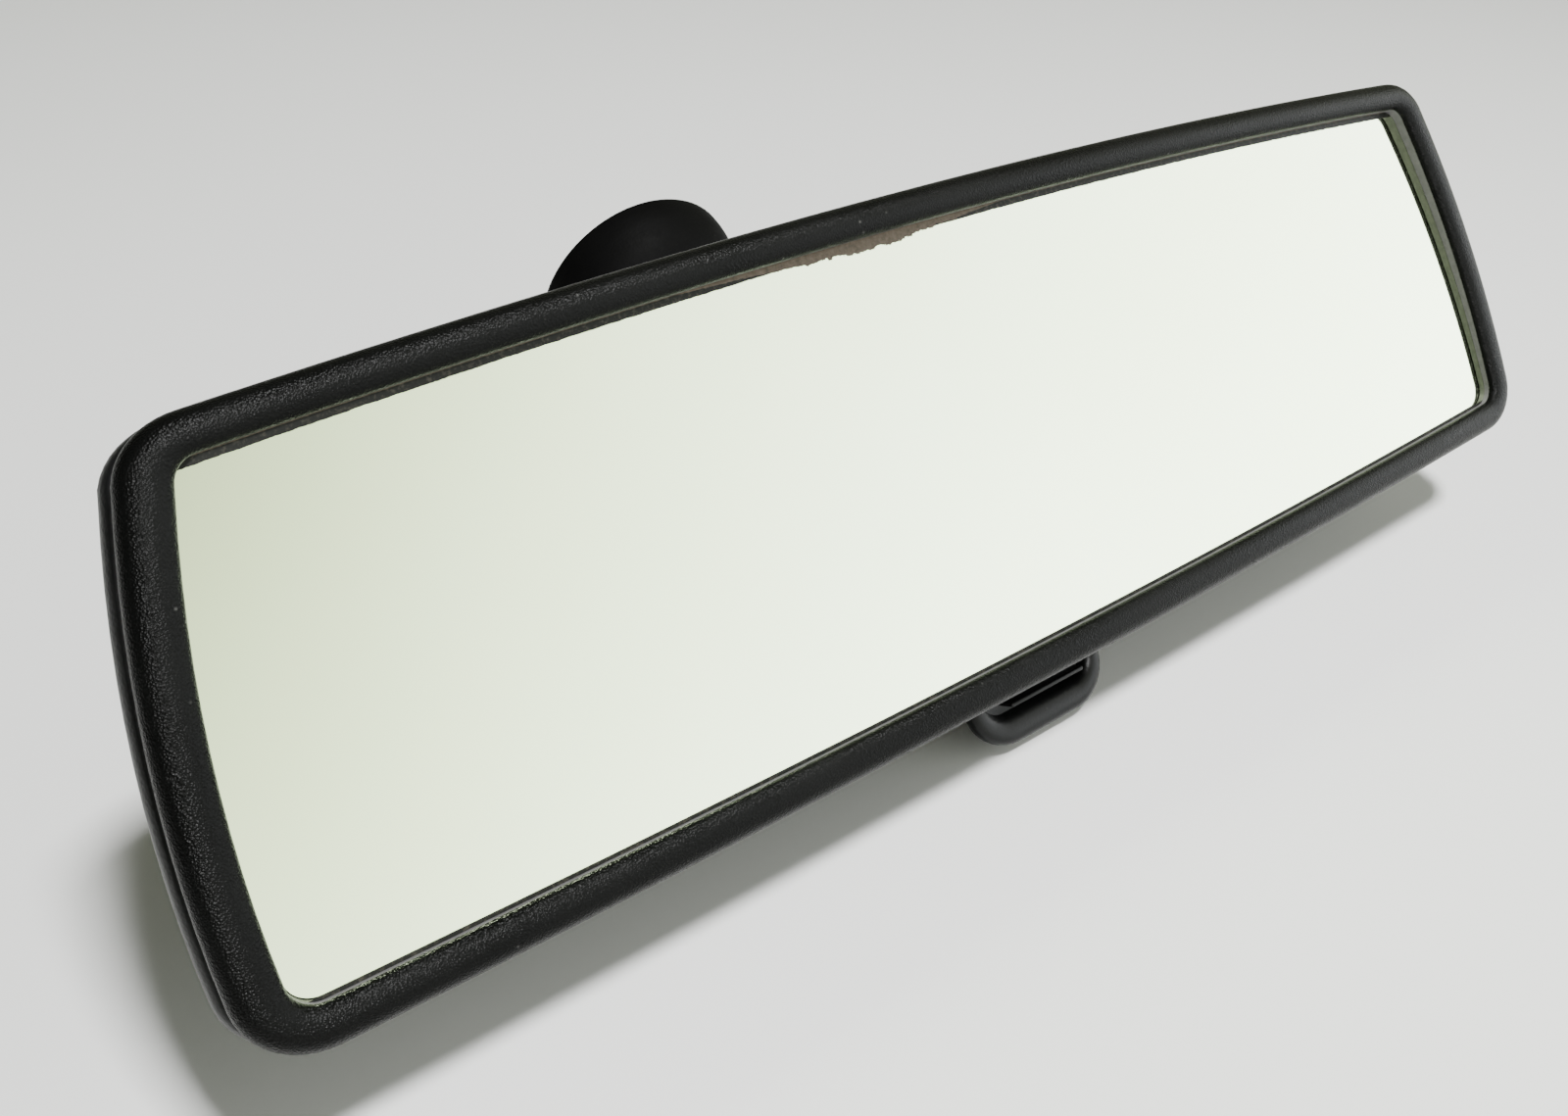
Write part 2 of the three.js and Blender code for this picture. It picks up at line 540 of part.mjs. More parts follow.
// a spring-steel disc in the bayonet recess, with three tongues bent towards the windscreen
function bayonetSpring() {
  const disc = rod(SPRING_DISC_RADIUS, BAYONET_DEPTH - GAP - 0.6, BAYONET_DEPTH - GAP, 30);
  const tools = [60, 180, 300].flatMap((turn) => [
    block(-3.4, -2.6, 4.5, 14, 4, 7).rotateZ(rad(turn)),
    block(2.6, 3.4, 4.5, 14, 4, 7).rotateZ(rad(turn)),
    block(-3, 3, 10.2, 14, 4, 7).rotateZ(rad(turn)),
  ]);
  return cut(disc, ...tools, rod(RIVET_RADIUS + GAP, 0, 8, 12));
}

const bayonetRivet = () => {
  const face = BAYONET_DEPTH - 2 * GAP - 0.6;
  const end = BAYONET_DEPTH + 0.7;
  return turned([
    [0, face - 0.6], [2, face - 0.5], [2.8, face], [RIVET_RADIUS, face], [RIVET_RADIUS, end], [0, end],
  ], 18);
};

// ---- materials ----
const black = new THREE.MeshStandardMaterial({ color: 0x17191a, roughness: 0.55, metalness: 0 });
const satinBlack = new THREE.MeshStandardMaterial({ color: 0x1c1e1f, roughness: 0.42, metalness: 0 });
const castZinc = new THREE.MeshStandardMaterial({ color: 0x2a2b2c, roughness: 0.5, metalness: 0.3 });
const steel = new THREE.MeshStandardMaterial({ color: 0xb4b8ba, roughness: 0.32, metalness: 0.9 });
const silvered = new THREE.MeshStandardMaterial({ color: 0xdfe6d8, roughness: 0.05, metalness: 1 });
const acetal = new THREE.MeshStandardMaterial({ color: 0xd9d6cb, roughness: 0.5, metalness: 0 });
const film = new THREE.MeshStandardMaterial({ color: 0x8a4a2c, roughness: 0.6, metalness: 0 });
const foam = new THREE.MeshStandardMaterial({ color: 0x3a3a3c, roughness: 0.95, metalness: 0 });

function named(name, geometry, material) {
  const mesh = new THREE.Mesh(geometry, material.clone());
  mesh.name = name;
  return mesh;
}

// ---- the assembly ----
const head = new THREE.Group();
head.add(
  named("front_bezel", frontBezel(), black),
  named("rear_housing", rearHousing(), satinBlack),
  named("mirror_glass", mirrorGlass(), silvered),
  named("shatter_film", shatterFilm(), film),
  named("foam_pad_left", foamPad(-1), foam),
  named("foam_pad_right", foamPad(1), foam),
  named("pivot_pin", pivotPin(), steel),
  named("lever_pin", leverPin(), steel),
  named("toggle_lever", toggleLever(), satinBlack),
  named("pivot_bracket", pivotBracket(), castZinc),
  named("socket_cap", socketCap(), castZinc),
  named("socket_screw_left", socketScrew(-1), steel),
  named("socket_screw_right", socketScrew(1), steel),
  named("ball_seat_front", ballSeatFront(), acetal),
  named("ball_seat_rear", ballSeatRear(), acetal),
  named("seat_spring", seatSpring(), steel),
  named("detent_spring", detentSpring(), steel),
  named("detent_rivet", detentRivet(), steel),
);

const foot = new THREE.Group();
foot.add(
  named("foot_cover", footCover(), satinBlack),
  named("foot_base", footBase(), castZinc),
  named("bayonet_spring", bayonetSpring(), steel),
  named("bayonet_rivet", bayonetRivet(), steel),
  named("support_arm", supportArm(), black),
  named("ball_stud", ballStud(), steel),
  named("arm_cross_pin", armCrossPin(), steel),
);
// the foot's frame sits in the head's frame, leaning about X
foot.rotation.x = Math.atan2(-footAxis.y, footAxis.z);
foot.position.copy(FOOT_CENTRE);

const mirror = new THREE.Group();
mirror.add(head, foot);
mirror.rotation.x = rad(HEAD_LEAN);
mirror.position.copy(FOOT_CENTRE.clone().negate().applyEuler(mirror.rotation));

const assembly = new THREE.Group();
assembly.add(mirror);
export default assembly;
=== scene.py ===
"""Interior rear-view mirror: looks, floor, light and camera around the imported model."""
import math

import bmesh
import bpy
from mathutils import Matrix, Vector


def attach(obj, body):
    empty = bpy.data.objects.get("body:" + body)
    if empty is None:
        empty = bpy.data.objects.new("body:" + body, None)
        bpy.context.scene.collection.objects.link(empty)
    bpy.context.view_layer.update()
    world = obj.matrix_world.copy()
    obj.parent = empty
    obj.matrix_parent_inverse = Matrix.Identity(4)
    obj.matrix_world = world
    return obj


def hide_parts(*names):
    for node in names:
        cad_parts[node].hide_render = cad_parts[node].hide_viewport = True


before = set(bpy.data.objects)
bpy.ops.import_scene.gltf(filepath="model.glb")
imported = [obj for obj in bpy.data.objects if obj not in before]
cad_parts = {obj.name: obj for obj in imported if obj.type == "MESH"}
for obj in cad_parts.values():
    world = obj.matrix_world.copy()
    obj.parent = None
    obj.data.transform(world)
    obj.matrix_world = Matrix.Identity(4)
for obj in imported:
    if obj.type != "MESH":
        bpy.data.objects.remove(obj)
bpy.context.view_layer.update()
scene = bpy.context.scene

# ---- the frames of the head (z out of the glass), the foot and the arm (z along their axes) ----
HEAD_LEAN = 55  # degrees from the ground back to the head's plane
FOOT_LEAN = 50  # degrees from the head's axis to the foot's
FOOT_CENTRE = Vector((0, 44.5, -109.4)) / 1000  # in the head's frame
HEAD_TURN = Matrix.Rotation(math.radians(HEAD_LEAN), 4, "X")
HEAD = Matrix.Translation(-(HEAD_TURN @ FOOT_CENTRE)) @ HEAD_TURN
FOOT = Matrix.Rotation(math.radians(HEAD_LEAN + FOOT_LEAN), 4, "X")
ROOT = Vector((0, 0, 3)) / 1000  # where the arm starts, in the foot's frame
BALL = Vector((0, 3, -22)) / 1000  # the ball's centre, in the head's frame
BALL_IN_FOOT = (HEAD.inverted() @ FOOT).inverted() @ BALL
ARM_LENGTH = (BALL_IN_FOOT - ROOT).length * 1000  # millimetres
ARM_TURN = Vector((0, 0, 1)).rotation_difference(BALL_IN_FOOT - ROOT).to_matrix().to_4x4()
ARM = FOOT @ Matrix.Translation(ROOT) @ ARM_TURN


def turn_head(v):
    """A direction of the head's frame as one of the world."""
    return (HEAD_TURN @ Vector(v)).normalized()


# ---- camera, laid out in the head's frame ----
eye = HEAD @ (Vector((-124.3, 19.9, 142.6)) / 1000)
right = turn_head((0.811, -0.304, 0.5))
back = -turn_head((0.477, -0.151, -0.866))
up = back.cross(right).normalized()
right = up.cross(back).normalized()
lens = bpy.data.cameras.new("camera")
lens.sensor_width = 36
lens.lens = 28.41
lens.clip_start = 0.01
camera = bpy.data.objects.new("camera", lens)
camera.matrix_world = Matrix.Translation(eye) @ Matrix((right, up, back)).transposed().to_4x4()
scene.collection.objects.link(camera)
scene.camera = camera

# ---- mesh helpers; lengths are given in millimetres ----
MM = 0.001
WELD = 1e-7  # metres within which two points become one


def at_mm(x, y, z):
    """A move by millimetres."""
    return Matrix.Translation((x * MM, y * MM, z * MM))


def solid(verts, faces, weld=False):
    """A bmesh of points and faces, with its faces turned outwards."""
    bm = bmesh.new()
    made = [bm.verts.new(Vector(v) * MM) for v in verts]
    for f in faces:
        bm.faces.new([made[i] for i in f])
    if weld:
        bmesh.ops.remove_doubles(bm, verts=bm.verts, dist=WELD)
    bmesh.ops.recalc_face_normals(bm, faces=bm.faces)
    return bm


def finish_mesh(name, bm, place, smooth_angle=40):
    """The bmesh as an object at place; edges that bend less than smooth_angle are shaded smooth."""
    limit = math.radians(smooth_angle)
    for f in bm.faces:
        f.smooth = True
    for e in bm.edges:
        e.smooth = len(e.link_faces) == 2 and e.calc_face_angle(0) < limit
    mesh = bpy.data.meshes.new(name)
    bm.to_mesh(mesh)
    bm.free()
    obj = bpy.data.objects.new(name, mesh)
    obj.matrix_world = place
    scene.collection.objects.link(obj)
    return obj


def build(name, skin, place, smooth_angle=40):
    """An object from a skin, which is what loft and lathe return."""
    return finish_mesh(name, solid(*skin, weld=True), place, smooth_angle)


def loft(rings, closed=False):
    """A skin through equal rings; an open run of rings is capped at both ends."""
    n = len(rings[0])
    verts = [p for r in rings for p in r]
    faces = []
    for b in range(len(rings) if closed else len(rings) - 1):
        lo, hi = b * n, ((b + 1) % len(rings)) * n
        faces += [(lo + i, lo + (i + 1) % n, hi + (i + 1) % n, hi + i) for i in range(n)]
    if not closed:
        for start, flip in ((0, True), ((len(rings) - 1) * n, False)):
            middle = sum((Vector(verts[start + i]) for i in range(n)), Vector()) / n
            verts.append(tuple(middle))
            for i in range(n):
                a, b = start + i, start + (i + 1) % n
                faces.append((len(verts) - 1, b, a) if flip else (len(verts) - 1, a, b))
    return verts, faces


def spline(points, steps=6):
    """A smooth curve through 2-D points, with steps points from one to the next."""
    out = []
    p = [Vector(q) for q in points]
    for i in range(len(p) - 1):
        a, b, c, d = p[max(i - 1, 0)], p[i], p[i + 1], p[min(i + 2, len(p) - 1)]
        for s in range(steps):
            t = s / steps
            out.append(0.5 * ((2 * b) + (c - a) * t + (2 * a - 5 * b + 4 * c - d) * t * t
                              + (3 * b - a - 3 * c + d) * t ** 3))
    out.append(p[-1])
    return [(v.x, v.y) for v in out]


def lathe(profile, sides=72):
    """A skin turned about Z from (radius, z) pairs, which start and end on the axis or form a loop."""
    loop = (Vector(profile[0]) - Vector(profile[-1])).length < 1e-9
    pts = profile[:-1] if loop else profile
    turns = [2 * math.pi * i / sides for i in range(sides)]
    verts, rows = [], []
    for r, z in pts:
        if abs(r) < 1e-6:
            rows.append([len(verts)] * sides)
            verts.append((0, 0, z))
        else:
            rows.append(list(range(len(verts), len(verts) + sides)))
            verts += [(r * math.cos(t), r * math.sin(t), z) for t in turns]
    faces = []
    for k in range(len(rows) if loop else len(rows) - 1):
        a, b = rows[k], rows[(k + 1) % len(rows)]
        for i in range(sides):
            j = (i + 1) % sides
            corner = []
            for v in (a[i], a[j], b[j], b[i]):
                if v not in corner:
                    corner.append(v)
            if len(corner) > 2:
                faces.append(tuple(corner))
    return verts, faces


def soft_block(x0, x1, y0, y1, z0, z1, radius, segments=3):
    """A bmesh of a block with rounded edges."""
    bm = bmesh.new()
    bmesh.ops.create_cube(bm, size=1)
    for v in bm.verts:
        x, y, z = v.co
        v.co = Vector((x0 if x < 0 else x1, y0 if y < 0 else y1, z0 if z < 0 else z1)) * MM
    bmesh.ops.bevel(bm, geom=bm.edges[:], offset=radius * MM, segments=segments, profile=0.5,
                    affect="EDGES")
    return bm


def merge_into(bm, other, matrix=None):
    """Moves other into bm, and frees it."""
    if matrix is not None:
        bmesh.ops.transform(other, matrix=matrix, verts=other.verts)
    mesh = bpy.data.meshes.new("scratch")
    other.to_mesh(mesh)
    other.free()
    bm.from_mesh(mesh)
    bpy.data.meshes.remove(mesh)


def boolean(obj, cutters, operation="DIFFERENCE", smooth_angle=40):
    """A new object in place of obj and its cutters, by exact booleans."""
    for c in cutters:
        m = obj.modifiers.new("cut", "BOOLEAN")
        m.operation = operation
        m.solver = "EXACT"
        m.object = c
    bpy.context.view_layer.update()
    graph = bpy.context.evaluated_depsgraph_get()
    mesh = bpy.data.meshes.new_from_object(obj.evaluated_get(graph))
    name, place = obj.name, obj.matrix_world.copy()
    for c in [obj] + cutters:
        bpy.data.objects.remove(c)
    bm = bmesh.new()
    bm.from_mesh(mesh)
    bpy.data.meshes.remove(mesh)
    return finish_mesh(name, bm, place, smooth_angle)


# ---- the outline of the head's opening, the same to the left and right ----
HALF_HEIGHT = 32.6  # at the middle
TOP_RISE, BOTTOM_RISE = 0.00027, 0.00013  # how the long sides close in, per millimetre squared
HALF_WIDTH, END_SLANT, END_BULGE = 118, -0.155, 0.0029  # an end's x at y 0, its slope and its curve
CORNER = 3.5  # corner radius
END_WIDENING, BOTTOM_WIDENING = 0.2, 0.12  # the frame is wider at its ends and along the bottom
BELLY = 1.4  # how far the ends of the housing stand out
HALF_STEP = 0.5  # half the step that slopes are measured over


def top_y(x):
    return HALF_HEIGHT - TOP_RISE * x * x


def bottom_y(x):
    return -HALF_HEIGHT + BOTTOM_RISE * x * x


def end_x(y):
    return HALF_WIDTH + END_SLANT * y - END_BULGE * y * y


def slope(curve, t):
    return curve(t + HALF_STEP) - curve(t - HALF_STEP)


def corner_centre(side, sign):
    """The centre of the corner's arc, between a long side and the end."""
    x, y = HALF_WIDTH - CORNER, sign * (HALF_HEIGHT - CORNER)
    for _ in range(20):
        slope_y, slope_x = slope(side, x), slope(end_x, y)
        y = side(x) - sign * CORNER * math.hypot(1, slope_y)
        x = end_x(y) - CORNER * math.hypot(1, slope_x)
    return x, y


def half_outline(side_steps=26, corner_steps=10, end_steps=12):
    """(x, y, nx, ny) from the top middle round the right end to the bottom middle.

    The points lie a corner radius inside the opening, and grow back along their normals.
    """
    def unit(x, y):
        length = math.hypot(x, y)
        return x / length, y / length

    def top_n(x):
        return unit(-slope(top_y, x), 1)

    def bottom_n(x):
        return unit(slope(bottom_y, x), -1)

    def end_n(y):
        return unit(1, -slope(end_x, y))

    out = []

    def place(x, y, n):
        out.append((x - n[0] * CORNER, y - n[1] * CORNER, n[0], n[1]))

    def arc(c, n0, n1):
        a0, a1 = math.atan2(n0[1], n0[0]), math.atan2(n1[1], n1[0])
        for i in range(corner_steps + 1):
            a = a0 + (a1 - a0) * i / corner_steps
            out.append((c[0], c[1], math.cos(a), math.sin(a)))

    tc, bc = corner_centre(top_y, 1), corner_centre(bottom_y, -1)
    for i in range(side_steps):
        x = tc[0] * i / side_steps
        place(x, top_y(x), top_n(x))
    arc(tc, top_n(tc[0]), end_n(tc[1]))
    for i in range(1, end_steps):
        y = tc[1] + (bc[1] - tc[1]) * i / end_steps
        place(end_x(y), y, end_n(y))
    arc(bc, end_n(bc[1]), bottom_n(bc[0]))
    for i in range(side_steps - 1, -1, -1):
        x = bc[0] * i / side_steps
        place(x, bottom_y(x), bottom_n(x))
    return out


HALF = half_outline()
OUTLINE = (HALF + [(-x, y, -nx, ny) for x, y, nx, ny in HALF[1:-1][::-1]])[::-1]


def ring(n, z, scale=1, belly=0):
    """The opening grown by n, at height z or z(y); belly pushes the two ends out."""
    out = []
    for x, y, nx, ny in OUTLINE:
        wide = 1 + END_WIDENING * nx * nx + BOTTOM_WIDENING * min(ny, 0) ** 2
        r = CORNER + n * wide + belly * BELLY * nx * nx
        px, py = x + nx * r, y + ny * r
        out.append((px * scale, py * scale, z(py) if callable(z) else z))
    return out


def wedge(bottom_z, fall):
    """A leaning plane as z(y), from bottom_z at the opening's bottom to fall below it at the top."""
    return lambda y: bottom_z - fall * (y + HALF_HEIGHT) / (2 * HALF_HEIGHT)


# ---- head pieces, in the head's frame ----
def make_bezel():
    """The round-nosed frame; its section is (growth, z) from the lip over the crest to the back."""
    crest = 2.3
    section = [(0.12, -0.7), (0.0, -0.52)]
    for a in map(math.radians, range(10, 91, 10)):
        section.append((crest - 2.28 * math.cos(a), -0.3 + 1.3 * math.sin(a)))
    for a in map(math.radians, range(9, 91, 9)):
        section.append((crest + 2.65 * math.sin(a), -1.7 + 2.7 * math.cos(a)))
    section += [(4.95, -3.5), (4.9, -3.75), (4.72, -3.85), (3.7, -3.85), (3.5, -3.7), (3.4, -0.7)]
    return build("bezel_frame", loft([ring(n, z) for n, z in section], closed=True), HEAD)


HEAD_DEPTH = 29.5  # how deep the dome's back lies
DOME_START, DOME_START_INSIDE = 10.4, 9.2  # how deep the dome starts
SHELL = 2  # wall thickness at the middle of the dome
DOME_POWER = 0.78  # 0.5 would make the dome an ellipse, 1 a parabola
DOME_STEPS = (0.999, 0.995, 0.988, 0.978, 0.965, 0.945, 0.91, 0.87, 0.82,
              0.76, 0.69, 0.61, 0.52, 0.43, 0.34, 0.25, 0.16, 0.08)  # sizes of the dome's rings
# growth, z and belly of the rings before the dome
RIM = ((4.7, -4.15, 0), (4.92, -4.22, 0.1), (4.97, -4.5, 0.3), (4.95, -5.3, 0.66), (4.9, -6.2, 0.9),
       (4.82, -7.2, 1.0), (4.62, -8.2, 0.86), (4.35, -9.1, 0.55), (4.15, -9.8, 0.25))
RIM_INSIDE = ((2.95, -4.15, 0), (2.95, -5.4, 0.7), (2.85, -7.2, 1.0), (2.35, -8.2, 0.6))


def dome_z(s, start, end):
    """The dome's height where its outline is scaled by s."""
    return -start - (end - start) * (1 - s * s) ** DOME_POWER


def make_housing():
    """The shell, less the opening for the arm and the slot for the lever."""
    outer = [ring(n, z, 1, belly) for n, z, belly in RIM]
    outer += [ring(4.0, dome_z(s, DOME_START, HEAD_DEPTH), s) for s in DOME_STEPS]
    inner = [ring(n, z, 1, belly) for n, z, belly in RIM_INSIDE]
    inner += [ring(2.0, dome_z(s, DOME_START_INSIDE, HEAD_DEPTH - SHELL), s)
              for s in DOME_STEPS[2::2]]
    shell = build("housing_shell", loft(inner[::-1] + outer), HEAD)
    funnel = [(0, -40), (11.8, -40), (11.8, -28.2), (11.3, -27.6), (11, -27), (11, -18), (0, -18)]
    aperture = build("cut_a", lathe(funnel, 96), HEAD @ at_mm(0, 6.5, 0))
    slot = finish_mesh("cut_b", soft_block(-12.9, 12.9, -42, -27.8, -18.5, -8.2, 1.2), HEAD)
    return boolean(shell, [aperture, slot], smooth_angle=38)


# x, y and z of the right-hand lugs for the pivot pin and for the lever's pin
LUGS = ((21.5, 24.5, 16.6, 21.4, -22, -7.3), (13, 15.6, -34.5, -26.6, -13.4, -8.8))


def make_lugs():
    """The housing's lugs that hold the two pins, the same on both sides."""
    bm = bmesh.new()
    for side in (-1, 1):
        for x0, x1, *rest in LUGS:
            a, b = sorted((side * x0, side * x1))
            merge_into(bm, soft_block(a, b, *rest, 0.3, 2))
    return finish_mesh("housing_lugs", bm, HEAD, 30)


def make_glass():
    """The silvered face lies as deep as it looks through the wedge of glass."""
    face, rear = wedge(-1.62, 0.7), wedge(-3.2, 2.8)
    rings = [ring(1.2, rear), ring(1.5, lambda y: rear(y) + 0.3),
             ring(1.5, lambda y: face(y) - 0.1), ring(1.4, face)]
    return build("mirror_plate", loft(rings), HEAD, 15)


def make_lip_wall():
    """The step inside the bezel, from the lip down to the glass."""
    lip, deep = -0.72, wedge(-1.6, 0.7)
    rings = [ring(0.1, lip), ring(0.5, lip), ring(0.5, deep), ring(0.1, deep)]
    return build("lip_wall", loft(rings, closed=True), HEAD, 30)


# ---- lever, in the head's frame ----
TAB_HALF_WIDTH, TAB_BOTTOM, TAB_TOP = 14.75, -50.6, -37.6
LEVER_PIN_Y, LEVER_PIN_Z = -29, -11
LEVER_PIN = at_mm(0, LEVER_PIN_Y, LEVER_PIN_Z)
CRANK_LENGTH = 6


def tab_ring(d, z):
    """The finger tab's outline drawn in by d, a little more at the bottom."""
    w, high = TAB_HALF_WIDTH - d, TAB_TOP - d
    low = TAB_BOTTOM + d + 0.45 * max(d - 0.4, 0)
    big, small = max(8 - 1.2 * d, 0.5), max(4.0 - d, 0.3)
    out = []
    for cx, cy, r, a0 in ((w - big, low + big, big, -90), (w - small, high - small, small, 0),
                          (-w + small, high - small, small, 90), (-w + big, low + big, big, 180)):
        for a in (math.radians(a0 + k * 9) for k in range(11)):
            out.append((cx + r * math.cos(a), cy + r * math.sin(a), z))
    return out


def make_lever():
    """The dished tab and its rib, the neck up to the hub, and the crank with its roller."""
    levels = [(3.0, -16.7), (2.2, -16.7), (1.1, -16.55), (0.4, -16.2), (0.08, -15.7), (0, -15.0),
              (0.06, -14.3), (0.3, -13.7), (0.75, -13.35), (1.3, -13.2), (1.9, -13.2), (2.5, -13.35),
              (3.0, -13.7), (3.35, -14.2), (3.5, -14.8), (3.7, -15.4), (4.2, -15.6)]
    bm = solid(*loft([tab_ring(d, z) for d, z in levels]))
    merge_into(bm, soft_block(-8.2, 8.2, -43.8, -43.0, -15.8, -11.2, 0.35, 4))
    lean = math.atan2(4, 8)
    merge_into(bm, soft_block(-10.5, 10.5, -9.6, -1, -1, 1, 0.5),
               LEVER_PIN @ Matrix.Rotation(lean, 4, "X"))
    hub = [(1.5, -12.6), (2.3, -12.6), (2.6, -12.3), (2.6, 12.3), (2.3, 12.6), (1.5, 12.6), (1.5, -12.6)]
    across = Matrix.Rotation(math.pi / 2, 4, "Y")
    merge_into(bm, solid(*lathe(hub, 40)), LEVER_PIN @ across)
    crank = math.radians(14)
    merge_into(bm, soft_block(-4.5, 4.5, 2, CRANK_LENGTH, -0.8, 0.8, 0.3),
               LEVER_PIN @ Matrix.Rotation(crank, 4, "X"))
    tip = at_mm(0, LEVER_PIN_Y + CRANK_LENGTH * math.cos(crank),
                LEVER_PIN_Z + CRANK_LENGTH * math.sin(crank))
    roller = [(0, -4.5), (1.1, -4.5), (1.4, -4.2), (1.4, 4.2), (1.1, 4.5), (0, 4.5)]
    merge_into(bm, solid(*lathe(roller, 32)), tip @ across)
    return finish_mesh("lever_tab", bm, HEAD, 42)


# ---- foot and arm, in their own frames ----
FOOT_RADIUS, FOOT_HEIGHT, COVER_WALL = 23, 21.5, 1.8
NECK_RADIUS, NECK_BORE = 7.6, 6.3


def make_cover():
    """The bell over the foot, joined to a neck round the arm, and hollowed."""
    r, top = FOOT_RADIUS, FOOT_HEIGHT
    outer = [(r - 0.05, 0), (r, 0.1)]
    outer += spline([(r, 1), (r - 0.12, 3), (r - 0.7, 5.8), (r - 2.4, 10.2), (r - 5.8, 14.8),
                     (r - 10.6, 18.9), (r - 16, 21), (0, top)])
    ri, ti = r - COVER_WALL, top - COVER_WALL
    inner = spline([(0, ti), (ri - 16, ti - 0.5), (ri - 10.6, ti - 2.4), (ri - 5.8, 14.0),
                    (ri - 2.4, 9.8), (ri - 0.7, 5.6), (ri, 1)], 5)
    bell = build("foot_bell", lathe(inner + [(ri, 0)] + outer, 96), FOOT)
    a = NECK_RADIUS
    neck = spline([(a + 7, 6), (a + 4.7, 13), (a + 2.3, 18), (a + 0.7, 23.4), (a, 27.6)])
    collar = build("cut_c", lathe([(0, 6)] + neck + [(a - 0.25, 28), (0, 28)]), ARM)
    cover = boolean(bell, [collar], "UNION")
    hole = [(0, 4), (NECK_BORE, 4), (NECK_BORE, 27.6), (6.6, 28.05), (6.6, 40), (0, 40)]
    bore = build("cut_d", lathe(hole), ARM)
    hollow = build("cut_e", lathe([(0, -1), (ri, -1)] + inner[::-1], 96), FOOT)
    cover = boolean(cover, [bore, hollow])
    cover.name = "foot_dome"
    return cover


def make_arm():
    """The bar from inside the foot to the ball, thinner towards the ball."""
    e = ARM_LENGTH
    taper = spline([(6, e - 23), (5.8, e - 21), (5.1, e - 18.6), (4.3, e - 15.4), (3.7, e - 13),
                    (3.6, e - 11.5)], 5)
    body = [(0, 8), (5, 8), (5, 15), (5.9, 15), (6, 15.2), (6, e - 24)] + taper
    body += [(3.6, e - 9.8), (3.4, e - 9.6), (0, e - 9.6)]
    return build("arm_bar", lathe(body, 64), ARM)


def make_ball():
    """The ball at the arm's end, with its short neck."""
    e, r, neck = ARM_LENGTH, 7.5, 3.4
    start = math.pi - math.asin(neck / r)
    angles = [start * (1 - k / 24) for k in range(24)]
    ball = [(r * math.sin(a), e + r * math.cos(a)) for a in angles] + [(0, e + r)]
    return build("ball_head", lathe([(0, e - 9.3), (neck, e - 9.3)] + ball, 56), ARM)


def make_base():
    """The casting that grips the windscreen plate: a ring, its floor, three lugs and the arm's boss."""
    rim = [(0, 6), (12.9, 6), (13.2, 5.7), (13.2, 0.3), (13.5, 0), (18.2, 0), (18.5, 0.3),
           (18.5, 7.7), (18.2, 8), (0, 8)]
    bm = solid(*lathe(rim, 96))
    for degrees in (0, 120, 240):
        lug = soft_block(-4, 4, 11, 14, 0.02, 1.4, 0.35)
        merge_into(bm, lug, Matrix.Rotation(math.radians(degrees), 4, "Z"))
    boss = solid(*lathe([(0, 6.5), (9, 6.5), (9, 12.9), (8.6, 13.3), (0, 13.3)], 56))
    merge_into(bm, boss, FOOT.inverted() @ ARM)
    return finish_mesh("base_casting", bm, FOOT, 35)


